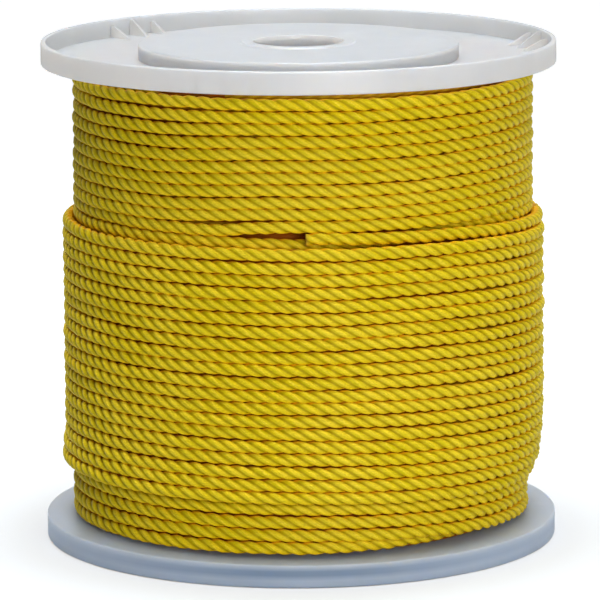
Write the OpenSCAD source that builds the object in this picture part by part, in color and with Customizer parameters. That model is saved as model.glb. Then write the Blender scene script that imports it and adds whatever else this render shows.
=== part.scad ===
// Rope spool: two moulded flanges, a barrel that snaps into them, and the rope.
// The origin is on the floor, on the spool's axis, with +Z up along the axis.
// Azimuth 0 is the front (-Y) and grows counter-clockwise, seen from above.

/* [Spool] */
// Outside diameter of each flange
flange_d = 254; // [242:1:305]
// Overall height over both flanges
spool_h = 247.5; // [205:0.5:300]
// Diameter of the arbor hole through both flanges
arbor_d = 44.5; // [25:0.5:70]
// Outside diameter of the barrel
barrel_d = 153; // [120:1:185]

/* [Flange] */
// Height of the rim, which is the depth of a flange
rim_h = 11.2; // [9.3:0.1:14]
// Wall of the rim
rim_t = 2.6; // [2:0.1:4]
// Radius on the rim's outer corners
rim_round = 0.8; // [0.2:0.1:1]
// Radius on the rim's inner edge
rim_edge_round = 0.6; // [0.2:0.1:0.8]
// Thickness of the web that the rope lies against
web_t = 2.2; // [1.6:0.1:3.5]
// Wall of the cup that takes the barrel's end
cup_t = 2.2; // [1.4:0.1:3.5]
// Thickness of the raised centre plate
plate_t = 2.2; // [1.4:0.1:2.6]
// Depth of the centre plate below the rim's edge
plate_drop = 2; // [1.2:0.1:2.2]
// Wall of the collar round the arbor hole
collar_t = 2.6; // [1.6:0.1:5]
// Reach of the collar into the barrel, past the centre plate
collar_reach = 14; // [8:0.5:30]
// Height of the raised ring round the arbor hole
hub_ring_h = 0.8; // [0.4:0.1:1.1]
// Width of that ring, past the collar's wall
hub_ring_w = 3; // [1:0.5:6]
// Diameter of the hole that the rope's first end is passed through
start_hole_d = 9; // [7:0.5:12]

/* [Ribs] */
// Number of ribs behind the centre plate
plate_ribs = 22; // [8:1:30]
// Depth of the ribs behind the centre plate
plate_rib_h = 6.5; // [2:0.5:7.5]
// Thickness of those ribs
plate_rib_t = 1.5; // [1:0.1:2.5]
// Number of gusset groups inside the rim
gusset_groups = 3; // [1:1:6]
// Angle between neighbouring gussets of a group
gusset_step = 6.4; // [4:0.5:12]
// Reach of the gussets from the rim towards the axis
gusset_reach = 13; // [6:0.5:24]
// Thickness of a gusset at the web
gusset_t = 1.9; // [1.2:0.1:3]
// Height of the short gussets above the web
short_gusset_h = 6; // [3:0.5:6]
// Azimuth of the lower flange's middle gusset
lower_gusset_at = 13.6; // [0:0.1:60]
// Angle by which the upper flange is turned against the lower one
flange_turn = 30; // [0:1:90]

/* [Barrel] */
// Wall of the barrel
barrel_t = 2.5; // [2:0.1:4]
// Gap between the barrel and the cup, and round the catches
seat_gap = 0.3; // [0.2:0.05:0.5]
// Number of catches that hold each end of the barrel
catches = 6; // [2:1:8]
// Width of a catch
catch_w = 12; // [6:0.5:20]
// Height of a catch
catch_h = 2.4; // [1.6:0.1:2.6]
// Reach of a catch from the cup's wall
catch_reach = 1.6; // [0.8:0.1:1.8]

/* [Rope] */
// Diameter of the rope
rope_d = 6.1; // [5.1:0.1:6.1]
// Path radius of the turns at the top and the bottom
inner_path_r = 110.8; // [105:0.1:112]
// Step in path radius from those turns to the outermost ones
layer_step = 5.6; // [5.6:0.1:6]
// Number of turns at the bottom
lower_turns = 4; // [2:1:5]
// Number of outermost turns
outer_turns = 20; // [10:1:20]
// Rise of each turn at the bottom
lower_pitch = 6.5; // [6.2:0.1:7]
// Rise of each outermost turn
outer_pitch = 6.16; // [6.16:0.01:6.4]
// Rise of each turn at the top
upper_pitch = 5.79; // [5.79:0.01:6]
// Rise from the last outermost turn to the rope's free end
free_end_rise = 6.2; // [6:0.1:6.4]
// Step in path radius from the outermost turns back to the free end
free_end_step = 4.8; // [4:0.1:5]

/* [Hidden] */

plastic = [0.86, 0.88, 0.9];
barrel_plastic = [0.8, 0.82, 0.84];
rope_yellow = [0.88, 0.74, 0.1];
shade_yellow = [0.62, 0.47, 0.04];

flange_r = flange_d / 2;
arbor_r = arbor_d / 2;
barrel_r = barrel_d / 2;
barrel_bore_r = barrel_r - barrel_t;
cup_bore_r = barrel_r + seat_gap;
cup_r = cup_bore_r + cup_t;
rim_bore_r = flange_r - rim_t;
plate_z = plate_drop + plate_t;
web_z = rim_h - web_t;
collar_r = arbor_r + collar_t;
hub_ring_r = collar_r + hub_ring_w;
plate_rib_r = barrel_bore_r - 1.5;
start_hole_r = cup_r + start_hole_d / 2 + 1;
start_hole_at = 30;    // azimuth of the start hole from the middle gusset
tall_gusset_h = web_z - 1;
tip_share = 0.55;      // a gusset's tip, as a share of its foot
catch_z = plate_z + (rim_h - plate_z - catch_h) / 2;
join = 0.6;            // depth by which a rib runs into its wall
cut = 1;               // overrun of a cut past the faces it opens
round_steps = 5;       // chords in a rounded corner

lower_web_z = rim_h;
upper_web_z = spool_h - rim_h;

rope_r = rope_d / 2;
rope_gap = 0.3;        // between the rope, the inner layers and the webs
rings = 20;            // rings of a tube to one loop
sides = 6;             // corners of a ring
ring_step = 360 / rings;
sag = cos(ring_step / 2);
cross_start = 105;     // azimuth where the lower and outermost turns begin to rise
cross_width = 90;      // and the angle that this takes
front_climb_at = -40;  // azimuth where the top turns begin their rise at the front
front_climb_width = 35;
front_climb_share = 0.42;
back_climb_at = -220;  // and where they begin the rest of it, at the back
back_climb_width = 80;
foot_room = 1.4;       // between the lowest turn and the web
head_room = 3.5;       // least height left over the highest turn
upper_rise = 6.9;      // from the last outermost turn to the lowest top turn
dive_depth = 6.6;      // by which a stretch sinks into the layer below
dive_width = 45;       // angle that this takes at a tube's end
duck_width = 38;       // and at the free end, which lies over a top turn
duck_dip = 2.4;        // by which that turn also drops there
outer_path_r = inner_path_r + layer_step;
dive_r = inner_path_r - dive_depth;
core_low_r = inner_path_r * sag - rope_r - rope_gap;
core_high_r = outer_path_r * sag - rope_r - rope_gap;
pocket_r = dive_r * sag - rope_r - rope_gap;

lower_first_z = lower_web_z + rope_r + foot_room;
lower_last_z = lower_first_z + (lower_turns - 1) * lower_pitch;
outer_foot_z = lower_last_z + lower_pitch;
outer_top_z = outer_foot_z + (outer_turns - 1) * outer_pitch;
upper_foot_z = outer_top_z + upper_rise;
upper_turns = max(1, floor((upper_web_z - rope_r - head_room - upper_foot_z) / upper_pitch));
upper_top_z = upper_foot_z + (upper_turns + 1 - front_climb_share) * upper_pitch;
first_drop = front_climb_share * upper_pitch;
upper_low_z = upper_foot_z - first_drop;

lower_from = 72;                                    // the rope is followed clockwise
split_at = -360 * (lower_turns - 1) - 180;          // from here up to the free end
outer_to = 3.6 - 360 * (lower_turns + outer_turns);
upper_from = -548;                                  // the top turns counter-clockwise
upper_surface_at = -485;
duck_from = -348;
duck_to = -250;
duck_rise_at = -330;                                // it rises again under the free end
duck_rise_width = 60;
upper_dive_at = 360 * upper_turns - 110;
upper_to = 360 * upper_turns - 40;

// ---------- flange ----------

function arc(centre, r, from, to) =
    [for (i = [0:round_steps]) let (a = from + (to - from) * i / round_steps)
        centre + r * [cos(a), sin(a)]];

// Turns the +X direction to an azimuth
module at_azimuth(a) {
    rotate([0, 0, a - 90]) children();
}

// Plate of a given thickness that stands on the XZ plane
module upright(t) {
    rotate([90, 0, 0]) translate([0, 0, -t / 2]) linear_extrude(t) children();
}

// Half section of a flange, outside face down and the rope's side up
module flange_section() {
    polygon(concat(
        [[arbor_r, plate_drop - hub_ring_h], [hub_ring_r, plate_drop - hub_ring_h],
         [hub_ring_r + hub_ring_h, plate_drop]],
        arc([cup_r - rim_round, plate_drop + rim_round], rim_round, -90, 0),
        [[cup_r, web_z], [rim_bore_r, web_z]],
        arc([rim_bore_r + rim_edge_round, rim_edge_round], rim_edge_round, 180, 270),
        arc([flange_r - rim_round, rim_round], rim_round, -90, 0),
        arc([flange_r - rim_round, rim_h - rim_round], rim_round, 0, 90),
        [[cup_bore_r, rim_h], [cup_bore_r, plate_z], [collar_r, plate_z],
         [collar_r, plate_z + collar_reach], [arbor_r, plate_z + collar_reach]]));
}

// Rib behind the centre plate, from the collar to short of the barrel
module plate_rib() {
    upright(plate_rib_t)
        polygon([[collar_r - join, plate_z - join], [plate_rib_r, plate_z - join],
                 [plate_rib_r, plate_z + join], [plate_rib_r - plate_rib_h, plate_z + plate_rib_h],
                 [collar_r - join, plate_z + plate_rib_h]]);
}

// Tapered gusset: thick at the web, thin at its tip, sloped towards the axis
module gusset(h) {
    near_r = rim_bore_r - gusset_reach;
    foot = gusset_t / 2;
    tip = foot * tip_share;
    intersection() {
        translate([near_r, 0, web_z]) rotate([90, 0, 90]) linear_extrude(gusset_reach + join)
            polygon([[-foot, join], [-tip, -h], [tip, -h], [foot, join]]);
        upright(2 * gusset_t)
            polygon([[near_r, web_z + join], [near_r, web_z], [rim_bore_r - 2, web_z - h],
                     [rim_bore_r + join, web_z - h], [rim_bore_r + join, web_z + join]]);
    }
}

// Wedge inside the cup, flat towards the plate and sloped towards the mouth
module catch_wedge() {
    tip_r = cup_bore_r - catch_reach;
    upright(catch_w)
        polygon([[cup_bore_r + join, catch_z], [tip_r, catch_z], [tip_r, catch_z + catch_h / 3],
                 [cup_bore_r, catch_z + catch_h], [cup_bore_r + join, catch_z + catch_h]]);
}

// One moulding, used at both ends, with its middle gusset at the front
module flange() {
    difference() {
        union() {
            rotate_extrude($fn = 144) flange_section();
            for (i = [0:plate_ribs - 1]) at_azimuth((i + 0.5) * 360 / plate_ribs) plate_rib();
            for (i = [0:catches - 1]) at_azimuth(i * 360 / catches) catch_wedge();
            for (g = [0:gusset_groups - 1], k = [-1:1])
                at_azimuth(g * 360 / gusset_groups + k * gusset_step)
                    gusset(k == 0 ? tall_gusset_h : short_gusset_h);
        }
        at_azimuth(start_hole_at) translate([start_hole_r, 0, web_z - cut])
            cylinder(h = web_t + 2 * cut, d = start_hole_d, $fn = 48);
    }
}

// ---------- barrel ----------

// Windows that the catches snap into, at the lower end
module catch_windows() {
    w = catch_w + 2 * seat_gap;
    for (i = [0:catches - 1]) at_azimuth(i * 360 / catches)
        translate([barrel_bore_r - cut, -w / 2, catch_z - seat_gap])
            cube([barrel_t + 2 * cut, w, catch_h + 2 * seat_gap]);
}

module barrel_body() {
    h = spool_h - 2 * plate_z;
    difference() {
        translate([0, 0, plate_z]) cylinder(h = h, r = barrel_r, $fn = 144);
        translate([0, 0, plate_z - cut]) cylinder(h = h + 2 * cut, r = barrel_bore_r, $fn = 144);
        at_lower_flange() catch_windows();
        at_upper_flange() catch_windows();
    }
}

module at_lower_flange() {
    rotate([0, 0, lower_gusset_at]) children();
}

module at_upper_flange() {
    translate([0, 0, spool_h]) rotate([0, 180, lower_gusset_at - flange_turn]) children();
}

// ---------- inner layers ----------

// Space over an arc of the inner layers, from pocket_r outwards
module pocket(from, to, z, h) {
    far = 2 * flange_r;
    mid = (from + to) / 2;
    difference() {
        translate([0, 0, z]) linear_extrude(h)
            polygon([[0, 0], far * [sin(from), -cos(from)], far * [sin(mid), -cos(mid)],
                     far * [sin(to), -cos(to)]]);
        translate([0, 0, z - cut]) cylinder(h = h + 2 * cut, r = pocket_r, $fn = 144);
    }
}

module inner_layers() {
    bore = barrel_r + rope_gap;
    pocket_h = 2 * rope_r + 2 * rope_gap;
    difference() {
        rotate_extrude($fn = 144)
            polygon([[bore, lower_web_z + rope_gap], [core_low_r, lower_web_z + rope_gap],
                     [core_low_r, outer_foot_z - 4.5], [core_high_r, outer_foot_z + 2.5],
                     [core_high_r, outer_top_z - 5.5], [core_low_r, outer_top_z + 1.5],
                     [core_low_r, upper_web_z - rope_gap], [bore, upper_web_z - rope_gap]]);
        pocket(-3, 80, lower_web_z - cut, cut + foot_room + pocket_h - rope_gap);
        pocket(-114, -18, upper_top_z - rope_r - rope_gap, upper_web_z - upper_top_z + rope_r + cut);
        pocket(-47, 113, upper_low_z - duck_dip - rope_r - rope_gap,
               first_drop + duck_dip + pocket_h);
        pocket(162, 248, upper_low_z - rope_r - rope_gap, pocket_h);
    }
}

// ---------- turns ----------

function smooth(t) = let (u = max(0, min(1, t))) u * u * (3 - 2 * u);

// Turns risen after an angle, when a turn does its rising in its first width degrees
function risen(angle, width) = let (n = floor(angle / 360)) n + smooth((angle - 360 * n) / width);

function at(r, a, z) = [r * sin(a), -r * cos(a), z];

// Lowest turns, which come up from the layer below at their first end
function lower_point(a) =
    at(inner_path_r - dive_depth * smooth(a / dive_width), a,
       lower_first_z + lower_pitch * (max(1, risen(cross_start - a, cross_width)) - 1));

// Outermost turns, from the lower ones up to the free end in the step above them
function outer_point(a) =
    let (t = risen(cross_start - a, cross_width) - lower_turns,
         settle = max(0, t - outer_turns),
         climb = smooth((split_at - a) / (180 - cross_start + cross_width)))
    at(inner_path_r + layer_step * climb - free_end_step * settle, a,
       lower_last_z + lower_pitch * min(t, 1)
       + outer_pitch * max(0, min(t, outer_turns) - 1) + free_end_rise * settle);

// How far a point of the top turns lies sunk, from 0 to 1: at both ends, and under the free end
function sunk(a) =
    smooth((upper_surface_at - a) / dive_width) + smooth((duck_to - a) / duck_width)
    - smooth((duck_from - a) / duck_width) + smooth((a - upper_dive_at) / dive_width);

// Top turns, which rise partly at the front and partly at the back
function upper_point(a) =
    let (back_up = smooth((a - duck_rise_at) / duck_rise_width),
         dipped = smooth((a - duck_from + duck_width) / duck_width) - back_up)
    at(inner_path_r - dive_depth * sunk(a), a,
       upper_foot_z - first_drop * (1 - back_up) - duck_dip * dipped
       + upper_pitch * (front_climb_share * max(0, risen(a - front_climb_at, front_climb_width))
           + (1 - front_climb_share) * max(0, risen(a - back_climb_at, back_climb_width))));

// A row of points carried on straight for one rope diameter at its last end
function carried_on(pts) =
    let (n = len(pts), d = pts[n - 1] - pts[n - 2]) concat(pts, [pts[n - 1] + rope_d * d / norm(d)]);

function reversed(pts) = [for (i = [len(pts) - 1:-1:0]) pts[i]];

// Both tubes meet face to face at the split, on one straight stretch
split_point = lower_point(split_at);
split_run = rope_d * [-cos(split_at), -sin(split_at), 0];

function lower_centres() =
    let (n = floor((lower_from - split_at) / ring_step),
         up = [for (i = [1:n]) lower_point(split_at + ring_step * i)])
    reversed(concat([split_point, split_point - split_run], carried_on(up)));

function outer_centres() =
    let (n = floor((split_at - outer_to) / ring_step),
         up = [for (i = [1:n]) outer_point(split_at - ring_step * i)])
    concat([split_point, split_point + split_run], carried_on(concat(up, [outer_point(outer_to)])));

function upper_centres() =
    let (pts = [for (a = [upper_from:ring_step:upper_to]) upper_point(a)])
    reversed(carried_on(reversed(carried_on(pts))));

// Direction of a tube at a point; both rings of an end stretch share one
function direction(pts, i) =
    let (n = len(pts),
         from = i <= 1 ? 0 : (i >= n - 2 ? n - 2 : i - 1),
         to = i <= 1 ? 1 : (i >= n - 2 ? n - 1 : i + 1),
         d = pts[to] - pts[from])
    d / norm(d);

// Corners of the ring at a point; the first points away from the spool's axis
function ring(pts, i) =
    let (d = direction(pts, i),
         flat = [pts[i][0], pts[i][1], 0],
         square = flat - d * (flat * d),
         out = square / norm(square),
         up = cross(out, d))
    [for (k = [0:sides - 1]) let (a = 360 * k / sides) pts[i] + rope_r * (out * cos(a) + up * sin(a))];

function ring_rows(pts) = [for (i = [0:len(pts) - 1]) ring(pts, i)];

module tube(rows) {
    last = (len(rows) - 1) * sides;
    walls = [for (i = [0:len(rows) - 2], k = [0:sides - 1])
        let (a = i * sides + k, b = i * sides + (k + 1) % sides)
        each [[a, b, b + sides], [a, b + sides, a + sides]]];
    first_cap = [for (k = [1:sides - 2]) [0, k + 1, k]];
    last_cap = [for (k = [1:sides - 2]) [last, last + k, last + k + 1]];
    polyhedron(points = [for (row = rows) each row], faces = concat(walls, first_cap, last_cap));
}

// Corners of a ring and the middles of its sides
function marks(row) =
    [for (k = [0:sides - 1]) each [row[k], (row[k] + row[(k + 1) % sides]) / 2]];

function to_stretch(p, a, b) =
    let (ab = b - a, t = max(0, min(1, (p - a) * ab / (ab * ab)))) norm(p - a - ab * t);

// Least gap from a tube's marks to the long lines of its own next loop
function least_gap(rows) =
    let (m = [for (row = rows) marks(row)], n = 2 * sides)
    min([for (i = [0:len(rows) - rings - 2], k = [0:n - 1], j = [0:n - 1])
        to_stretch(m[i][k], m[i + rings][j], m[i + rings + 1][j])]);

module turns(name, rows) {
    echo(str(name, ": least gap to itself ", least_gap(rows), " mm"));
    tube(rows);
}

// ---------- pieces ----------

module lower_flange() {
    color(plastic) at_lower_flange() flange();
}

module upper_flange() {
    color(plastic) at_upper_flange() flange();
}

module barrel() {
    color(barrel_plastic) barrel_body();
}

module rope_inner_layers() {
    color(shade_yellow) inner_layers();
}

module rope_lower_turns() {
    color(rope_yellow) turns("rope_lower_turns", ring_rows(lower_centres()));
}

module rope_outer_turns() {
    color(rope_yellow) turns("rope_outer_turns", ring_rows(outer_centres()));
}

module rope_upper_turns() {
    color(rope_yellow) turns("rope_upper_turns", ring_rows(upper_centres()));
}

lower_flange();
upper_flange();
barrel();
rope_inner_layers();
rope_lower_turns();
rope_outer_turns();
rope_upper_turns();
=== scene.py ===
import math

import bmesh
import bpy
import numpy as np
from bpy.props import FloatProperty, FloatVectorProperty, IntProperty, PointerProperty
from mathutils import Matrix, Vector


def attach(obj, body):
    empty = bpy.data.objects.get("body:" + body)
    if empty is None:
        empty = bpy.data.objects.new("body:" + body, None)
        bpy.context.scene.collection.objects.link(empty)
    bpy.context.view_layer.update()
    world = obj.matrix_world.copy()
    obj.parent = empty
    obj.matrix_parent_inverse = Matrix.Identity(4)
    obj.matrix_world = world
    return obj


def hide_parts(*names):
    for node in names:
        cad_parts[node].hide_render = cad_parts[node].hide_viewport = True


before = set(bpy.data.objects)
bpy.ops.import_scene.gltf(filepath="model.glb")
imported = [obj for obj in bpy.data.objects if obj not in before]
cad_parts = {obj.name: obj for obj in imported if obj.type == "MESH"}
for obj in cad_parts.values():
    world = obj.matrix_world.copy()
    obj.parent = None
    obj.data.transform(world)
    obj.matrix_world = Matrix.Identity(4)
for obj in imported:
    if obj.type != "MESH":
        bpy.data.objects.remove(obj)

bl_info = {
    "name": "Rope Spool",
    "version": (1, 0, 0),
    "blender": (4, 5, 0),
    "location": "3D View > Sidebar > Spool",
    "description": "Winds twisted rope on a spool with natural plastic flanges",
    "category": "Add Mesh",
}

MM = 0.001
BODY = "root"


# ---------- settings ----------

class SpoolRopeSettings(bpy.types.PropertyGroup):
    diameter: FloatProperty(
        name="Diameter", description="Rope diameter over its strands",
        default=6.2 * MM, min=4 * MM, max=8 * MM, unit="LENGTH")
    lay: FloatProperty(
        name="Lay", description="Length in which a strand goes once round the rope",
        default=22.4 * MM, min=12 * MM, max=60 * MM, unit="LENGTH")
    groove: FloatProperty(
        name="Groove", description="Radius between two strands, as a share of the rope's",
        default=0.6, min=0.4, max=1.0, subtype="FACTOR")
    rings: IntProperty(
        name="Rings", description="Sections of the rope in one turn", default=400, min=90, max=900)
    wander: FloatProperty(
        name="Wander", description="How far a turn strays from its even place",
        default=0.33 * MM, min=0.0, max=1 * MM, unit="LENGTH")
    lean: FloatProperty(
        name="Lean", description="How far the winding stands off the spool's axis",
        default=1.9 * MM, min=0.0, max=3 * MM, unit="LENGTH")
    yellow: FloatVectorProperty(
        name="Yellow", description="Colour of the strands", subtype="COLOR",
        size=3, min=0.0, max=1.0, default=(0.86, 0.61, 0.003))
    # The shade colour is painted shade in the grooves between the strands; the fibre grain is also
    # darkened towards it.
    shade: FloatVectorProperty(
        name="Shade", description="Colour between the strands", subtype="COLOR",
        size=3, min=0.0, max=1.0, default=(0.40, 0.275, 0.0005))


class SpoolPlasticSettings(bpy.types.PropertyGroup):
    tint: FloatVectorProperty(
        name="Tint", description="Colour of the upper flange's plastic", subtype="COLOR",
        size=3, min=0.0, max=1.0, default=(0.745, 0.728, 0.71))
    # Painted shade: the lower flange's plastic is a darker, bluer copy of the same plastic, as it
    # lies in shade.
    shaded: FloatVectorProperty(
        name="Shaded Tint", description="Colour of the lower flange's plastic, which lies in shade",
        subtype="COLOR", size=3, min=0.0, max=1.0, default=(0.73, 0.785, 0.87))
    depth: FloatProperty(
        name="Depth", description="How far light runs inside the flanges' plastic",
        default=30 * MM, min=0.0, max=80 * MM, unit="LENGTH")
    clear: FloatProperty(
        name="Clearness", description="Share of the light that goes straight through the plastic",
        default=0.5, min=0.0, max=1.0, subtype="FACTOR")
    roughness: FloatProperty(
        name="Roughness", description="Roughness of the moulded surface",
        default=0.38, min=0.0, max=1.0, subtype="FACTOR")


class SpoolStageSettings(bpy.types.PropertyGroup):
    floor: FloatVectorProperty(
        name="Floor", description="Colour of the floor", subtype="COLOR",
        size=3, min=0.0, max=1.0, default=(0.37, 0.45, 0.55))
    sky: FloatProperty(
        name="Sky", description="Level of the even light from all round",
        default=0.05, min=0.0, max=2.0)
    key: FloatProperty(
        name="Key", description="Power of the large lamp overhead",
        default=13.0, min=0.0, max=500.0, unit="POWER")
    fill: FloatProperty(
        name="Fill", description="Power of the lamp in front",
        default=13.7, min=0.0, max=500.0, unit="POWER")


# ---------- routes of the rope ----------
# Azimuth 0 is the front and grows counter-clockwise, seen from above.
# Lengths here are in millimetres and angles in degrees.

WEB_LOW, WEB_HIGH = 11.2, 236.3  # faces of the flanges that the rope lies between
INNER_R, OUTER_R = 110.8, 116.4  # centre lines of the lower and upper turns, and of the outer ones
LOWER_FOOT, LOWER_PITCH, LOWER_TURNS = 15.65, 6.5, 4
OUTER_PITCH, OUTER_TURNS = 6.16, 20
LOWER_LAST = LOWER_FOOT + (LOWER_TURNS - 1) * LOWER_PITCH
OUTER_FOOT = LOWER_LAST + LOWER_PITCH
OUTER_TOP = OUTER_FOOT + (OUTER_TURNS - 1) * OUTER_PITCH
UPPER_FOOT, UPPER_PITCH, UPPER_TURNS = OUTER_TOP + 6.9, 5.79, 11
FIRST_AT, END_AT = 72.0, -8639.5  # the outer route's hidden start and its free end
UPPER_FROM, UPPER_TO = -551.0, 3919.0  # the upper route's two hidden ends
DIVE, DIVE_SPAN = 6.6, 45.0  # how far a route goes in, and over how long

CROSS_FROM, CROSS_SPAN = 105.0, 90.0  # where an outer turn rises to the next one, going clockwise
CROSS_WAIT, CROSS_LESS = 22.0, 6.0  # the low turns do so later, and the high ones in a shorter span
CROSS_TURN, CROSS_TURNS = 6.0, 16.0  # the turns over which the one changes into the other
CLIMB_AT, CLIMB_SPAN = -1260.0, 165.0  # where the lower layer becomes the outer one
END_RISE, END_STEP = 6.2, 4.8  # the last part lies higher and further in, on the step
LIFT_AT, LIFT_SPAN, LIFT_OUT, LIFT_UP = -8616.0, 22.0, 0.8, 1.1  # the free end springs off a little

FRONT_SHARE = (0.42,) * 8 + (0.36, 0.24, 0.08, 0.0)  # part of its pitch that a turn rises in front
BACK_SHARE = tuple(1 - s for s in FRONT_SHARE[1:]) + (0.58,)  # and the rest of it, at the back
FRONT_AT, FRONT_SPAN, FRONT_WAIT = 40.0, 35.0, 15.0  # degrees before the front; the first one waits
BACK_AT, BACK_SPAN = 220.0, 80.0
UPPER_OUT = -485.0  # the upper route comes out before this azimuth
UPPER_IN = 360.0 * UPPER_TURNS - 110.0  # and goes in after this one
UNDER_FROM, UNDER_FROM_SPAN = -341.0, 34.0  # between these it passes under the outer route's end
UNDER_TO, UNDER_TO_SPAN = -285.0, 40.0
DIP_AT, DIP_SPAN = -376.0, 20.0  # it lies 1 mm lower from here up to its rise
RISE_AT, RISE_SPAN = -345.0, 32.0
RISE_TO, RISE_TO_SPAN = -310.0, 35.0  # and 1 mm higher from its rise up to here

LEAN_FROM, LEAN_SPAN = 38.0, 20.0  # heights over which the winding comes to stand off the axis


def smooth(t):
    """0 up to 0, 1 from 1 on, and an even curve between them."""
    t = np.clip(t, 0.0, 1.0)
    return t * t * (3.0 - 2.0 * t)


def stray(angle, seed, span):
    """Slow seeded waves along a route, between about -1 and 1."""
    rng = np.random.default_rng(seed)
    total = np.zeros_like(angle)
    for k in range(9):
        waves = 360.0 / span * (0.35 + 0.22 * k)
        pace = waves * (1 + 0.13 * rng.random())
        total += np.sin(np.radians(angle) * pace + rng.random() * 6.283)
    return total / 3.0


def outer_route(a):
    """Radius and height of the lower and outermost turns, which rise clockwise."""
    p = CROSS_FROM - a
    turn = np.floor(p / 360.0)
    late = smooth((turn - CROSS_TURN) / CROSS_TURNS)
    begun = p - 360.0 * turn - CROSS_WAIT * (1 - late)
    t = turn + smooth(begun / (CROSS_SPAN - CROSS_LESS * late))
    past = t - LOWER_TURNS
    settle = np.maximum(0.0, past - OUTER_TURNS)
    climb = smooth((CLIMB_AT - a) / CLIMB_SPAN)
    radius = (INNER_R + (OUTER_R - INNER_R) * climb - DIVE * smooth(a / DIVE_SPAN)
              - END_STEP * settle)
    low = LOWER_FOOT + LOWER_PITCH * (np.maximum(1.0, t) - 1.0)
    high = (LOWER_LAST + LOWER_PITCH * np.minimum(past, 1.0)
            + OUTER_PITCH * np.maximum(0.0, np.minimum(past, OUTER_TURNS) - 1.0)
            + END_RISE * settle)
    lift = smooth((LIFT_AT - a) / LIFT_SPAN)
    return radius + LIFT_OUT * lift, np.where(past < 0, low, high) + LIFT_UP * lift


def upper_route(a):
    """Radius and height of the upper turns, which rise partly in front and partly at the back."""
    rise = smooth((a - RISE_AT) / RISE_SPAN)
    level = FRONT_SHARE[0] * (rise - 1.0)
    for k in range(UPPER_TURNS + 1):
        level = level + BACK_SHARE[k] * smooth((a + BACK_AT - 360.0 * k) / BACK_SPAN)
        if k < UPPER_TURNS:
            wait = FRONT_WAIT if k == 0 else 0.0
            front = smooth((a + FRONT_AT - wait - 360.0 * k) / (FRONT_SPAN - wait))
            level = level + FRONT_SHARE[k + 1] * front
    sunk = (smooth((UPPER_OUT - a) / DIVE_SPAN) + smooth((UNDER_TO - a) / UNDER_TO_SPAN)
            - smooth((UNDER_FROM - a) / UNDER_FROM_SPAN) + smooth((a - UPPER_IN) / DIVE_SPAN))
    dip = (smooth((a - DIP_AT) / DIP_SPAN) - rise) - (rise - smooth((a - RISE_TO) / RISE_TO_SPAN))
    return INNER_R - DIVE * sunk, UPPER_FOOT + UPPER_PITCH * level - dip


def lean_share(z):
    """How much of its lean the winding has at a height."""
    return smooth((z - LEAN_FROM) / LEAN_SPAN)


# ---------- meshes ----------

STRANDS = 3
SECTION = (  # angle from a groove; the radius there as a sum and a share of the groove's; depth
    (0.0, 0.0, 1.0, 1.0), (24.0, 0.45, 0.66, 0.3), (60.0, 1.0, 0.0, 0.0), (96.0, 0.45, 0.66, 0.3))
PRESSED, CORNER = 1.1, 10  # a turn spreads towards its neighbours and flattens where they meet
OUTER_SQUEEZE, UPPER_SQUEEZE = 3.32, 3.12  # the most that half its height may be, in millimetres
OUTER_SEED, UPPER_SEED = 11, 23
UV_EDGE = 0.02  # empty border of a turn's strip in the UV map

CORE_BORE, CORE_R, CORE_PITCH = 78.5, 105.9, 6.1  # the inner layers, in millimetres
CORE_SWELL, CORE_EASE = 5.4, 7.0  # behind the outer turns they reach further out
POCKET_R, POCKET_EASE = 99.3, 1.2  # radius at the bottom of a dip, and how soft its edges are
POCKETS = (  # azimuths and heights of the dips in which a route goes in
    (0.0, 77.0, WEB_LOW, 19.0), (-111.0, -21.0, 229.5, WEB_HIGH),
    (-22.0, 76.0, 157.0, 168.9), (165.0, 245.0, 160.0, 166.5))
# Painted shade: the dips of the inner layers are darker below this radius.
DIP_SHADE_R, DIP_SHADE_SPAN = 103.5, 3.0  # the dips are dark below this radius
CORE_GAP, CORE_COLUMNS = 0.35, 180  # gap to each flange, and points round the spool
CORE_LEAN, CORE_ROUND = 0.6, 105.0  # share of the lean, and radius at which the lay is measured
ACROSS = (0.0, 0.12, 0.3, 0.5, 0.7, 0.88)  # places across a turn of the inner layers


def section(groove):
    """Angles, radii and depths in the grooves of the rope's section."""
    angles, radii, depths = [], [], []
    for strand in range(STRANDS):
        for angle, own, share, depth in SECTION:
            angles.append(math.radians(360.0 / STRANDS * strand + angle))
            radii.append(own + share * groove)
            depths.append(depth)
    return np.array(angles), np.array(radii), np.array(depths)


def unit(v):
    """Vectors of length 1 in the same directions."""
    return v / np.linalg.norm(v, axis=-1, keepdims=True)


def corner_uvs(u0, u1, v0, v1):
    """UVs of the four corners of every quad, from the two ends of its sides."""
    corners = [np.stack([u0, v0], -1), np.stack([u1, v0], -1),
               np.stack([u1, v1], -1), np.stack([u0, v1], -1)]
    return np.stack(corners, axis=2).reshape(-1, 2)


def new_object(name, points, faces, uv, shades):
    """Mesh object from points, faces, UVs per corner and named values per point."""
    mesh = bpy.data.meshes.new(name)
    mesh.from_pydata(points.tolist(), [], faces)
    mesh.validate()
    layer = mesh.uv_layers.new(name="OFBake")
    layer.data.foreach_set("uv", np.asarray(uv, dtype=np.float32).ravel())
    for title, values in shades.items():
        kind = "FLOAT_VECTOR" if values.ndim == 2 else "FLOAT"
        data = mesh.attributes.new(title, kind, "POINT").data
        numbers = values.astype(np.float32).ravel()
        data.foreach_set("vector" if values.ndim == 2 else "value", numbers)
    mesh.polygons.foreach_set("use_smooth", [True] * len(mesh.polygons))
    mesh.update()
    ob = bpy.data.objects.new(name, mesh)
    bpy.context.scene.collection.objects.link(ob)
    return ob


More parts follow.
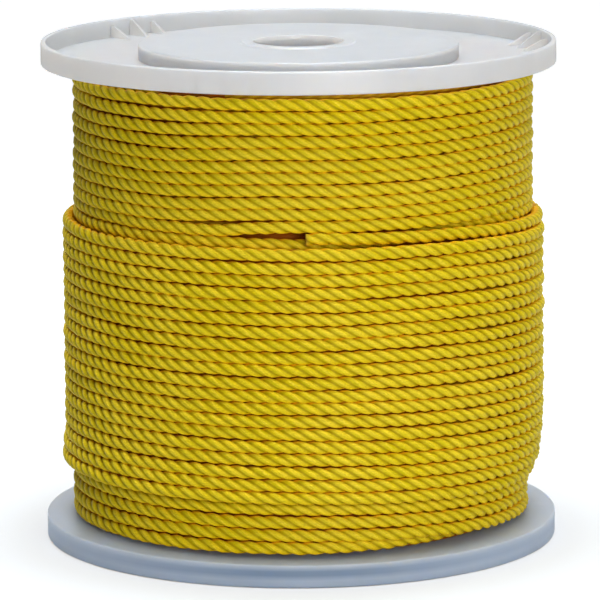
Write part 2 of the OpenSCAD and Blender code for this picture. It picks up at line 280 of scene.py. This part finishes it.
def rope_path(route, start, stop, rope, seed):
    """Azimuths, centre line, its directions along, out and up, and the length up to each point."""
    step = 360.0 / rope.rings
    count = int(round((stop - start) / step))
    a = start + (stop - start) * np.arange(count + 1) / count
    r, z = route(a)
    wander = rope.wander / MM
    r = r + 0.8 * wander * stray(a, seed, 150.0)
    z = z + 0.6 * wander * stray(a, seed + 1, 190.0) + 0.4 * wander * stray(a, seed + 3, 21.0)
    rad = np.radians(a)
    x = r * np.sin(rad) + rope.lean / MM * lean_share(z)
    centre = np.stack([x, -r * np.cos(rad), z], axis=1)
    along = unit(np.gradient(centre, axis=0))
    out = np.stack([np.sin(rad), -np.cos(rad), 0 * rad], axis=1)
    out = unit(out - along * np.sum(out * along, axis=1, keepdims=True))
    up = np.cross(out, along)
    run = np.concatenate([[0.0], np.cumsum(np.linalg.norm(np.diff(centre, axis=0), axis=1))])
    return a, centre, along, out, up, run


def rope_sides(n, m, rings):
    """Quads and UVs of n rings of m points, with one strip of the UV map for every turn."""
    i, k = np.meshgrid(np.arange(n - 1), np.arange(m), indexing="ij")
    k2 = (k + 1) % m
    quads = np.stack([i * m + k, (i + 1) * m + k, (i + 1) * m + k2, i * m + k2], axis=-1)
    turns = (n - 2) // rings + 1
    strip, col = i // rings, i % rings
    wide = 1.0 - 2 * UV_EDGE
    uv = corner_uvs(UV_EDGE + wide * col / rings, UV_EDGE + wide * (col + 1) / rings,
                    (strip + UV_EDGE + wide * k / m) / turns,
                    (strip + UV_EDGE + wide * (k + 1) / m) / turns)
    return quads.reshape(-1, 4).tolist(), uv


def rope_ends(n, angles, rings):
    """Triangles and UVs that close both ends, round one more point in the middle of each."""
    m = len(angles)
    turns = (n - 2) // rings + 1
    faces, uv = [], []
    for end, ring in enumerate((0, (n - 1) * m)):
        last_u = UV_EDGE + (1.0 - 2 * UV_EDGE) * ((n - 2) % rings + 1) / rings
        u = last_u + 0.01 if end else 0.01
        v = ((turns - 1 if end else 0) + 0.5) / turns
        for j in range(m):
            pair = ((j + 1) % m, j) if end else (j, (j + 1) % m)
            faces.append([n * m + end, ring + pair[0], ring + pair[1]])
            uv.append((u, v))
            for q in pair:
                uv.append((u + 0.008 * math.cos(angles[q]), v + 0.3 / turns * math.sin(angles[q])))
    return faces, uv


def laid_rope(name, route, start, stop, rope, squeeze, seed):
    """Rope swept along a route, with its strands going round it as they do on the real one."""
    a, centre, along, out, up, run = rope_path(route, start, stop, rope, seed)
    angles, radii, depth = section(rope.groove)
    n, m = len(a), len(angles)
    size = 0.5 * rope.diameter / MM
    turned = angles[None, :] - 2 * math.pi * run[:, None] / (rope.lay / MM)
    swell = 1.0 + 0.012 * stray(a, seed + 2, 40.0)[:, None]
    reach = size * radii[None, :] * swell
    c, s = reach * np.cos(turned), reach * np.sin(turned)
    flat = PRESSED * s / (1.0 + (PRESSED * s / squeeze) ** CORNER) ** (1.0 / CORNER)
    points = centre[:, None, :] + out[:, None, :] * c[..., None] + up[:, None, :] * flat[..., None]
    middles = centre[[0, -1]] + along[[0, -1]] * [[0.5], [-0.5]]

    still = size * radii * np.array([np.cos(angles), np.sin(angles)])
    length = np.repeat(run, m)
    fibre = np.stack([c.ravel(), s.ravel(), length], axis=1)
    yarn = np.column_stack([np.tile(still.T, (n, 1)), length])
    ends = np.stack([np.zeros(2), np.zeros(2), run[[0, -1]]], axis=1)
    cut = np.zeros(n * m)
    cut[:m] = 1.0
    cut[-m:] = 1.0
    # One value marks the top, bottom and inside of each turn, where the material paints shade
    # between the turns.
    shades = {
        "groove": np.concatenate([np.tile(depth, n), [0.6, 0.6]]),
        "hidden": np.concatenate([(0.5 - 0.5 * np.cos(turned)).ravel(), [0.5, 0.5]]),
        "fibre": np.concatenate([fibre, ends]),
        "yarn": np.concatenate([yarn, ends]),
        "cut": np.concatenate([cut, [1.0, 1.0]]),
    }
    sides, side_uv = rope_sides(n, m, rope.rings)
    caps, cap_uv = rope_ends(n, angles, rope.rings)
    points = np.concatenate([points.reshape(-1, 3), middles]) * MM
    uv = np.concatenate([side_uv, np.array(cap_uv)])
    return new_object(name, points, sides + caps, uv, shades)


def inner_radius(a, z):
    """Outer radius of the inner layers, sunk where a route goes in."""
    base = (CORE_R + CORE_SWELL * smooth((z - OUTER_FOOT + 4.5) / CORE_EASE)
            * (1 - smooth((z - OUTER_TOP + 5.5) / CORE_EASE)))
    for start, stop, low, high in POCKETS:
        mid, half = (start + stop) / 2, (stop - start) / 2
        off = np.abs((a - mid + 180.0) % 360.0 - 180.0)
        share = (smooth((half - off) / 4.0 + 0.5) * smooth((z - low) / POCKET_EASE)
                 * smooth((high - z) / POCKET_EASE))
        base = base + (POCKET_R - base) * share
    return base


def inner_rows():
    """Rows of points round the inner layers: radius inside the outer wall, height, place across
    a turn, turn number, and 0 for the lower end, 1 for the outside and 2 for the upper end."""
    low, high = WEB_LOW + CORE_GAP, WEB_HIGH - CORE_GAP
    turns = int((high - low) / CORE_PITCH)
    ends = int((CORE_R - CORE_BORE) / CORE_PITCH)
    rows = [(CORE_BORE + (j + u) * CORE_PITCH, low, u, j, 0) for j in range(ends) for u in ACROSS]
    rows += [(None, low + (j + u) * (high - low) / turns, u, j, 1)
             for j in range(turns) for u in ACROSS]
    rows.append((None, high, 0.0, turns, 1))
    rows += [(CORE_BORE + (j + u) * CORE_PITCH, high, u, j, 2)
             for j in range(ends - 1, -1, -1) for u in ACROSS[::-1]]
    return rows


def inner_layers_object(name, rope):
    """The layers under the outermost rope: turns side by side over the outside and both ends."""
    size = 0.5 * rope.diameter / MM
    rows = inner_rows()
    a = 360.0 * np.arange(CORE_COLUMNS) / CORE_COLUMNS
    rad = np.radians(a)
    points, groove, hidden, fibre = [], [], [], []
    for radius, z, u, j, zone in rows:
        arch = math.sqrt(max(0.0, 1 - (2 * u - 1) ** 2))
        dip = size * (1 - arch) * 0.9
        if zone == 1:
            r = inner_radius(a, np.full_like(a, z)) - dip
            height = np.full_like(a, z)
            # Painted shade deepens in the dips.
            dip_shade = np.clip((DIP_SHADE_R - r) / DIP_SHADE_SPAN, 0, 1)
        else:
            r = np.full_like(a, radius)
            dip_shade = 0 * a
            height = np.full_like(a, z + (dip if zone == 0 else -dip))
        shift = rope.lean / MM * CORE_LEAN * lean_share(height)
        points.append(np.stack([r * np.sin(rad) + shift, -r * np.cos(rad), height], axis=1))
        phi = math.pi * (u - 0.5)
        run = rad * (CORE_ROUND if radius is None else radius)
        strand = STRANDS * (phi + 2 * math.pi * run / (rope.lay / MM))
        groove.append(np.clip(0.5 + 0.5 * np.cos(strand), 0, 1) ** 2)
        # Painted shade between the inner turns and in the dips.
        hidden.append(np.maximum(0.35 + 0.65 * (1 - arch), dip_shade))
        fibre.append(np.stack([size * math.cos(phi) + 0 * run,
                               size * math.sin(phi) + 7.0 * j + 0 * run, run], axis=1))
    n, m = len(rows), CORE_COLUMNS
    i, k = np.meshgrid(np.arange(n), np.arange(m), indexing="ij")
    i2, k2 = (i + 1) % n, (k + 1) % m
    quads = np.stack([i * m + k, i * m + k2, i2 * m + k2, i2 * m + k], axis=-1).reshape(-1, 4)
    uv = corner_uvs(0.005 + 0.99 * k / m, 0.005 + 0.99 * (k + 1) / m,
                    0.005 + 0.99 * i / n, 0.005 + 0.99 * (i + 1) / n)
    shades = {"groove": np.concatenate(groove), "hidden": np.concatenate(hidden),
              "fibre": np.concatenate(fibre), "yarn": np.concatenate(fibre), "cut": np.zeros(n * m)}
    return new_object(name, np.concatenate(points) * MM, quads.tolist(), uv, shades)


# ---------- materials ----------

# The underside colour is painted shade: the lower half of each rope turn is warmer and more orange.
UNDERSIDE_SHADE = (0.93, 0.565, 0.003)  # colours are linear RGB
CUT_END = (0.62, 0.33, 0.04)
# Painted shade between the turns, in lighter and darker patches, and deeper for the inner layers.
SHADE_BETWEEN_TURNS = ((0.97, 0.50, 0.008), (0.42, 0.12, 0.01))  # lighter and darker places
DEEP_SHADE_BETWEEN = ((0.45, 0.09, 0.006), (0.30, 0.05, 0.006))
# Painted light on the upright walls round the upper flange's middle.
LIT_WALL = (0.98, 0.975, 0.97)
# Painted shade, darker and bluer, at the lower flange's web.
WEB_SHADE_COLOUR = (0.20, 0.30, 0.44)
BARREL_DARK, BARREL_PALE, BARREL_LINE = (0.76, 0.78, 0.79), (0.84, 0.86, 0.87), (0.66, 0.68, 0.69)
POLYPROPYLENE_IOR = 1.49


class Wiring:
    """Adds nodes to a new material, or to another owner of a node tree, and joins them."""

    def __init__(self, name, owner=None, output="ShaderNodeOutputMaterial"):
        self.owner = owner or bpy.data.materials.new(name)
        self.owner.use_nodes = True
        self.tree = self.owner.node_tree
        self.tree.nodes.clear()
        self.output = self.tree.nodes.new(output)
        self.count = 0

    def add(self, kind, **settings):
        node = self.tree.nodes.new(kind)
        self.count += 1
        node.location = (-220 * (self.count % 7) - 200, 180 * (self.count // 7))
        for key, value in settings.items():
            setattr(node, key, value)
        return node

    def join(self, source, target):
        self.tree.links.new(source, target)

    def value(self, title):
        return self.add("ShaderNodeAttribute", attribute_name=title)

    def noise(self, vector, scale, detail=2.0, rough=0.5):
        node = self.add("ShaderNodeTexNoise")
        node.inputs["Scale"].default_value = scale
        node.inputs["Detail"].default_value = detail
        node.inputs["Roughness"].default_value = rough
        self.join(vector, node.inputs["Vector"])
        return node.outputs["Fac"]

    def stretched(self, vector, scale):
        node = self.add("ShaderNodeMapping")
        node.inputs["Scale"].default_value = scale
        self.join(vector, node.inputs["Vector"])
        return node.outputs["Vector"]

    def maths(self, operation, a, b=0.0):
        node = self.add("ShaderNodeMath", operation=operation)
        for socket, v in zip(node.inputs, (a, b)):
            if isinstance(v, bpy.types.NodeSocket):
                self.join(v, socket)
            else:
                socket.default_value = v
        return node.outputs[0]

    def ranged(self, source, low, high, to_low, to_high):
        node = self.add("ShaderNodeMapRange")
        for title, v in (("From Min", low), ("From Max", high),
                         ("To Min", to_low), ("To Max", to_high)):
            node.inputs[title].default_value = v
        self.join(source, node.inputs["Value"])
        return node.outputs["Result"]

    def mixed(self, share, a, b):
        node = self.add("ShaderNodeMix", data_type="RGBA")
        sockets = [s for s in node.inputs if s.enabled]
        for socket, v in zip(sockets, (share, a, b)):
            if isinstance(v, bpy.types.NodeSocket):
                self.join(v, socket)
            else:
                socket.default_value = (*v, 1.0)
        return [s for s in node.outputs if s.enabled][0]

    def bump(self, height, distance, strength):
        node = self.add("ShaderNodeBump")
        node.inputs["Strength"].default_value = strength
        node.inputs["Distance"].default_value = distance
        self.join(height, node.inputs["Height"])
        return node.outputs["Normal"]

    def finish(self, shader):
        self.join(shader.outputs[0], self.output.inputs["Surface"])
        return self.owner


def rope_material(name, rope, under):
    """Twisted polypropylene: fibres along the rope, with painted shade that makes it darker and
    browner between strands and turns and warmer on the lower half of each turn, and painted
    highlights on the ridges and along streaks. Under gives the two colours of the painted shade
    between turns.
    The fibre attribute is a point's place across and along the rope, and yarn the same in a frame
    that turns with the strands, both in millimetres."""
    w = Wiring(name)
    fibre, groove = w.value("fibre").outputs["Vector"], w.value("groove").outputs["Fac"]
    hidden, cut = w.value("hidden").outputs["Fac"], w.value("cut").outputs["Fac"]
    yarn = w.value("yarn").outputs["Vector"]
    place = w.add("ShaderNodeTexCoord").outputs["Object"]
    hair = w.noise(w.stretched(fibre, (3.4, 3.4, 0.22)), 1.0, 3.0, 0.6)
    tuft = w.noise(w.stretched(yarn, (0.5, 0.5, 0.07)), 1.0)
    streak = w.noise(w.stretched(yarn, (1.3, 1.3, 0.13)), 1.0, 2.0, 0.6)
    cloud = w.noise(place, 22.0)
    gloom = w.noise(w.stretched(fibre, (0.02, 0.02, 0.07)), 1.0, 1.0)
    yellow, shade = tuple(rope.yellow), tuple(rope.shade)
    # The pale colour is both a lighter tone at random and the colour of painted highlights.
    pale_and_highlight = (yellow[0] * 1.08, yellow[1] * 1.12, 0.035)
    green = (yellow[0] * 0.78, yellow[1] * 0.88, yellow[2])
    base = w.mixed(w.ranged(tuft, 0.35, 0.68, 0.0, 1.0), green, yellow)
    base = w.mixed(w.ranged(cloud, 0.42, 0.62, 0.0, 0.5), base, pale_and_highlight)
    # Painted highlight on the ridges of the strands.
    base = w.mixed(w.ranged(groove, 0.0, 0.2, 0.4, 0.0), base, pale_and_highlight)
    # Painted highlights along streaks, with a greener tone between them.
    base = w.mixed(w.ranged(streak, 0.52, 0.66, 0.0, 0.8), base, pale_and_highlight)
    base = w.mixed(w.ranged(streak, 0.34, 0.48, 0.55, 0.0), base, green)
    # Painted shade: the lower half of each turn is warmer and more orange.
    split = w.add("ShaderNodeSeparateXYZ")
    w.join(fibre, split.inputs[0])
    base = w.mixed(w.ranged(split.outputs["Y"], -2.6, -0.2, 0.85, 0.0), base, UNDERSIDE_SHADE)
    base = w.mixed(w.ranged(hair, 0.36, 0.52, 0.45, 0.0), base, shade)
    # Painted shade in the grooves between the strands.
    base = w.mixed(w.ranged(groove, 0.12, 0.8, 0.0, 0.9), base, shade)
    # Painted shade between the turns, in lighter and darker patches.
    between = w.mixed(w.ranged(gloom, 0.52, 0.68, 0.0, 1.0), *under)
    base = w.mixed(w.ranged(hidden, 0.25, 0.5, 0.0, 0.9), base, between)
    base = w.mixed(w.maths("MULTIPLY", cut, 0.6), base, CUT_END)
    shader = w.add("ShaderNodeBsdfPrincipled")
    w.join(base, shader.inputs["Base Color"])
    w.join(w.ranged(hair, 0.3, 0.7, 0.40, 0.58), shader.inputs["Roughness"])
    height = w.maths("ADD", w.maths("MULTIPLY", hair, 0.5), streak)
    w.join(w.bump(height, 0.25 * MM, 0.8), shader.inputs["Normal"])
    shader.inputs["IOR"].default_value = POLYPROPYLENE_IOR
    shader.inputs["Specular IOR Level"].default_value = 0.08
    return w.finish(shader)


def flange_material(name, plastic, tint, web_shade=0.0, lit=0.0):
    """Natural translucent polypropylene with faint moulding clouds. The darkening at the lower
    web's height is painted shade, darker and bluer in front and behind, and its argument gives how
    strong it is; lit is how much painted light makes the upright walls round the middle lighter."""
    w = Wiring(name)
    place = w.add("ShaderNodeTexCoord").outputs["Object"]
    cloud = w.noise(place, 26.0, 3.0)
    grain = w.noise(place, 900.0)
    flow = w.noise(w.stretched(place, (1.0, 1.0, 0.2)), 70.0)
    darker, lighter = tuple(c * 0.94 for c in tint), tuple(min(1.0, c * 1.06) for c in tint)
    base = w.mixed(w.ranged(cloud, 0.35, 0.65, 0.0, 1.0), darker, tint)
    base = w.mixed(w.ranged(flow, 0.55, 0.75, 0.0, 0.35), base, lighter)
    # Painted light: the upright walls round the middle are lighter.
    if lit:
        face = w.add("ShaderNodeSeparateXYZ")
        spot = w.add("ShaderNodeVectorMath", operation="MULTIPLY")
        w.join(w.add("ShaderNodeTexCoord").outputs["Normal"], face.inputs[0])
        w.join(place, spot.inputs[0])
        spot.inputs[1].default_value = (1.0, 1.0, 0.0)
        away = w.add("ShaderNodeVectorMath", operation="LENGTH")
        w.join(spot.outputs["Vector"], away.inputs[0])
        wall = w.ranged(w.maths("ABSOLUTE", face.outputs["Z"]), 0.3, 0.8, lit, 0.0)
        wall = w.maths("MULTIPLY", wall, w.ranged(away.outputs["Value"], 0.083, 0.085, 1.0, 0.0))
        base = w.mixed(wall, base, LIT_WALL)
    # Painted shade: darker and bluer at the lower web's height, most in front and behind.
    if web_shade:
        split = w.add("ShaderNodeSeparateXYZ")
        w.join(place, split.inputs[0])
        off = w.maths("ABSOLUTE", w.maths("SUBTRACT", split.outputs["Z"], 7.2 * MM))
        side = w.ranged(w.maths("ABSOLUTE", split.outputs["X"]), 0.02, 0.115, web_shade, 0.25 * web_shade)
        share = w.maths("MULTIPLY", w.ranged(off, 1.0 * MM, 3.6 * MM, 1.0, 0.0), side)
        base = w.mixed(share, base, WEB_SHADE_COLOUR)
    rough = w.ranged(cloud, 0.3, 0.7, plastic.roughness - 0.05, plastic.roughness + 0.08)
    shader = w.add("ShaderNodeBsdfPrincipled")
    w.join(base, shader.inputs["Base Color"])
    w.join(rough, shader.inputs["Roughness"])
    w.join(w.bump(grain, 0.03 * MM, 0.5), shader.inputs["Normal"])
    shader.inputs["IOR"].default_value = POLYPROPYLENE_IOR
    shader.inputs["Transmission Weight"].default_value = plastic.clear
    shader.inputs["Subsurface Weight"].default_value = 1.0
    shader.inputs["Subsurface Scale"].default_value = plastic.depth
    shader.inputs["Subsurface Radius"].default_value = (1.0, 0.8, 0.6)
    return w.finish(shader)


def barrel_material(name):
    """The barrel's extruded plastic, with fine lines along it."""
    w = Wiring(name)
    place = w.add("ShaderNodeTexCoord").outputs["Object"]
    lines = w.noise(w.stretched(place, (420.0, 420.0, 6.0)), 1.0)
    cloud = w.noise(place, 18.0)
    base = w.mixed(w.ranged(cloud, 0.35, 0.65, 0.0, 1.0), BARREL_DARK, BARREL_PALE)
    base = w.mixed(w.ranged(lines, 0.5, 0.7, 0.0, 0.3), base, BARREL_LINE)
    shader = w.add("ShaderNodeBsdfPrincipled")
    w.join(base, shader.inputs["Base Color"])
    w.join(w.ranged(lines, 0.3, 0.7, 0.42, 0.58), shader.inputs["Roughness"])
    w.join(w.bump(lines, 0.05 * MM, 0.5), shader.inputs["Normal"])
    return w.finish(shader)


def give(ob, material):
    """Puts one material in every slot of an object."""
    if not ob.material_slots:
        ob.data.materials.append(material)
    for s in ob.material_slots:
        s.material = material


# ---------- operators ----------

class SPOOL_OT_outer_turns(bpy.types.Operator):
    """Lay the lower and outermost turns, up to the cut free end"""
    bl_idname = "spool.outer_turns"
    bl_label = "Outer turns"
    bl_options = {"REGISTER", "UNDO"}

    def execute(self, context):
        rope = context.scene.spool_rope
        ob = laid_rope("rope_outer", outer_route, END_AT, FIRST_AT, rope, OUTER_SQUEEZE, OUTER_SEED)
        give(ob, rope_material("twisted_rope_outer", rope, SHADE_BETWEEN_TURNS))
        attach(ob, BODY)
        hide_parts("rope_outer_turns", "rope_lower_turns")
        return {"FINISHED"}


class SPOOL_OT_upper_turns(bpy.types.Operator):
    """Lay the turns between the free end and the upper flange"""
    bl_idname = "spool.upper_turns"
    bl_label = "Upper turns"
    bl_options = {"REGISTER", "UNDO"}

    def execute(self, context):
        rope = context.scene.spool_rope
        ob = laid_rope("rope_upper", upper_route, UPPER_FROM, UPPER_TO, rope,
                       UPPER_SQUEEZE, UPPER_SEED)
        give(ob, rope_material("twisted_rope_upper", rope, SHADE_BETWEEN_TURNS))
        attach(ob, BODY)
        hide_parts("rope_upper_turns")
        return {"FINISHED"}


class SPOOL_OT_inner_layers(bpy.types.Operator):
    """Fill the space between the barrel and the outer rope with the inner layers"""
    bl_idname = "spool.inner_layers"
    bl_label = "Inner layers"
    bl_options = {"REGISTER", "UNDO"}

    def execute(self, context):
        rope = context.scene.spool_rope
        ob = inner_layers_object("rope_inner", rope)
        give(ob, rope_material("twisted_rope_inner", rope, DEEP_SHADE_BETWEEN))
        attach(ob, BODY)
        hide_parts("rope_inner_layers")
        return {"FINISHED"}


class SPOOL_OT_flanges(bpy.types.Operator):
    """Give both flanges their natural plastic"""
    bl_idname = "spool.flanges"
    bl_label = "Flanges"
    bl_options = {"REGISTER", "UNDO"}

    def execute(self, context):
        plastic = context.scene.spool_plastic
        # The lower flange gets a shaded copy of the plastic with a band of painted shade at its
        # web; the upper one gets painted light on its middle walls.
        lower = flange_material("natural_plastic_lower", plastic, tuple(plastic.shaded), web_shade=0.85)
        upper = flange_material("natural_plastic_upper", plastic, tuple(plastic.tint), lit=0.9)
        give(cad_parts["lower_flange"], lower)
        give(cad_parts["upper_flange"], upper)
        return {"FINISHED"}


class SPOOL_OT_barrel(bpy.types.Operator):
    """Give the barrel its plastic"""
    bl_idname = "spool.barrel"
    bl_label = "Barrel"
    bl_options = {"REGISTER", "UNDO"}

    def execute(self, context):
        give(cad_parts["barrel"], barrel_material("barrel_plastic"))
        return {"FINISHED"}


# ---------- stage ----------

FLOOR_RADIUS, FLOOR_DROP = 14.0, 0.0002
GLOW_NEAR, GLOW_FAR, GLOW_LEAST = 0.14, 0.7, 0.36  # the floor turns white between these distances
GREYING = 1.5  # how far the camera sees the floor without its tint
LAMPS = (  # name, place, size, spread in degrees, setting with its power
    ("key_lamp", (0.0, 0.1, 1.7), 1.4, 70.0, "key"),
    ("fill_lamp", (0.42, -1.4, 0.4), 0.8, 180.0, "fill"))
LAMPS_AIM = (0.0, 0.0, 0.12)
CAMERA_PLACE, CAMERA_DOWN, CAMERA_ROLL = (0.00003, -2.3, 0.5348), 10.31, -0.35
LENS_MM, SENSOR_MM = 281.88, 36.0


def seen_plainly(w):
    """1 for what the camera sees, also in gloss or through plastic, and 0 for light on things."""
    path = w.add("ShaderNodeLightPath").outputs
    seen = w.maths("MAXIMUM", path["Is Camera Ray"], path["Is Glossy Ray"])
    return w.maths("MAXIMUM", seen, path["Is Transmission Ray"])


def link_object(name, data):
    ob = bpy.data.objects.new(name, data)
    bpy.context.scene.collection.objects.link(ob)
    return ob


def floor_object(tint):
    """A round floor whose tint reaches the object, while the camera sees it fade to white."""
    mesh = bpy.data.meshes.new("floor")
    bm = bmesh.new()
    bmesh.ops.create_circle(bm, cap_ends=True, segments=96, radius=FLOOR_RADIUS)
    bm.to_mesh(mesh)
    bm.free()
    floor = link_object("floor", mesh)
    floor.location.z = -FLOOR_DROP
    w = Wiring("pale_floor")
    plain = w.add("ShaderNodeBsdfDiffuse")
    plain.inputs["Color"].default_value = (*tint, 1.0)
    away = w.add("ShaderNodeVectorMath", operation="LENGTH")
    w.join(w.add("ShaderNodeTexCoord").outputs["Object"], away.inputs[0])
    level = w.ranged(away.outputs["Value"], GLOW_NEAR, GLOW_FAR, GLOW_LEAST, 1.0)
    near = w.maths("SUBTRACT", 1.0, level)
    camera_ray = w.add("ShaderNodeLightPath").outputs["Is Camera Ray"]
    even = w.add("ShaderNodeVectorMath", operation="MULTIPLY_ADD")
    w.join(w.maths("MULTIPLY", camera_ray, near), even.inputs[0])
    even.inputs[1].default_value = tuple(GREYING * (tint[1] - c) for c in tint)
    w.join(level, even.inputs[2])
    glow = w.add("ShaderNodeEmission")
    w.join(even.outputs["Vector"], glow.inputs["Color"])
    w.join(seen_plainly(w), glow.inputs["Strength"])
    both = w.add("ShaderNodeAddShader")
    w.join(plain.outputs[0], both.inputs[0])
    w.join(glow.outputs[0], both.inputs[1])
    give(floor, w.finish(both))
    return floor


def studio_world(sky):
    """Even light from all round, behind which the background looks white."""
    w = Wiring("studio", bpy.data.worlds.new("studio"), "ShaderNodeOutputWorld")
    back = w.add("ShaderNodeBackground")
    back.inputs["Color"].default_value = (1.0, 1.0, 1.0, 1.0)
    w.join(w.ranged(seen_plainly(w), 0.0, 1.0, sky, 1.0), back.inputs["Strength"])
    return w.finish(back)


def lamp_object(name, place, size, spread, power):
    """A square soft lamp aimed at the middle of the spool."""
    lamp = bpy.data.lights.new(name, "AREA")
    lamp.size, lamp.energy, lamp.spread = size, power, math.radians(spread)
    ob = link_object(name, lamp)
    ob.location = place
    aim = Vector(LAMPS_AIM) - ob.location
    ob.rotation_euler = aim.to_track_quat("-Z", "Y").to_euler()


def camera_object():
    """A long lens in front, a little above the spool and looking down on it."""
    data = bpy.data.cameras.new("camera")
    data.lens, data.sensor_width = LENS_MM, SENSOR_MM
    data.clip_start, data.clip_end = 0.1, 60.0
    camera = link_object("camera", data)
    camera.matrix_world = (Matrix.Translation(CAMERA_PLACE)
                           @ Matrix.Rotation(math.radians(90.0 - CAMERA_DOWN), 4, "X")
                           @ Matrix.Rotation(math.radians(CAMERA_ROLL), 4, "Z"))
    return camera


class SPOOL_OT_stage(bpy.types.Operator):
    """Set up the floor, the light and the camera"""
    bl_idname = "spool.stage"
    bl_label = "Stage"
    bl_options = {"REGISTER", "UNDO"}

    def execute(self, context):
        scene, stage = context.scene, context.scene.spool_stage
        floor = floor_object(tuple(stage.floor))
        scene.world = studio_world(stage.sky)
        for name, place, size, spread, power in LAMPS:
            lamp_object(name, place, size, spread, getattr(stage, power))
        scene.camera = camera_object()
        scene.view_settings.view_transform = "Standard"
        return {"FINISHED"}


class SPOOL_PT_panel(bpy.types.Panel):
    """Lists the spool's pieces and their settings"""
    bl_idname = "SPOOL_PT_panel"
    bl_label = "Rope Spool"
    bl_space_type = "VIEW_3D"
    bl_region_type = "UI"
    bl_category = "Spool"

    def draw(self, context):
        for group in ("spool_rope", "spool_plastic", "spool_stage"):
            box = self.layout.box()
            settings = getattr(context.scene, group)
            for title in settings.__annotations__:
                box.prop(settings, title)
        column = self.layout.column(align=True)
        for operator in PIECES:
            column.operator(operator.bl_idname)


PIECES = (SPOOL_OT_flanges, SPOOL_OT_barrel, SPOOL_OT_inner_layers, SPOOL_OT_outer_turns,
          SPOOL_OT_upper_turns, SPOOL_OT_stage)
CLASSES = (SpoolRopeSettings, SpoolPlasticSettings, SpoolStageSettings, *PIECES, SPOOL_PT_panel)
GROUPS = {"spool_rope": SpoolRopeSettings, "spool_plastic": SpoolPlasticSettings,
          "spool_stage": SpoolStageSettings}


def register():
    for cls in CLASSES:
        bpy.utils.register_class(cls)
    for title, group in GROUPS.items():
        setattr(bpy.types.Scene, title, PointerProperty(type=group))


def unregister():
    for title in GROUPS:
        delattr(bpy.types.Scene, title)
    for cls in reversed(CLASSES):
        bpy.utils.unregister_class(cls)


def main():
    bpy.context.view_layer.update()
    register()
    bpy.ops.spool.flanges()
    bpy.ops.spool.barrel()
    bpy.ops.spool.inner_layers()
    bpy.ops.spool.outer_turns()
    bpy.ops.spool.upper_turns()
    bpy.ops.spool.stage()
    bpy.context.view_layer.update()


if __name__ == "__main__":
    main()
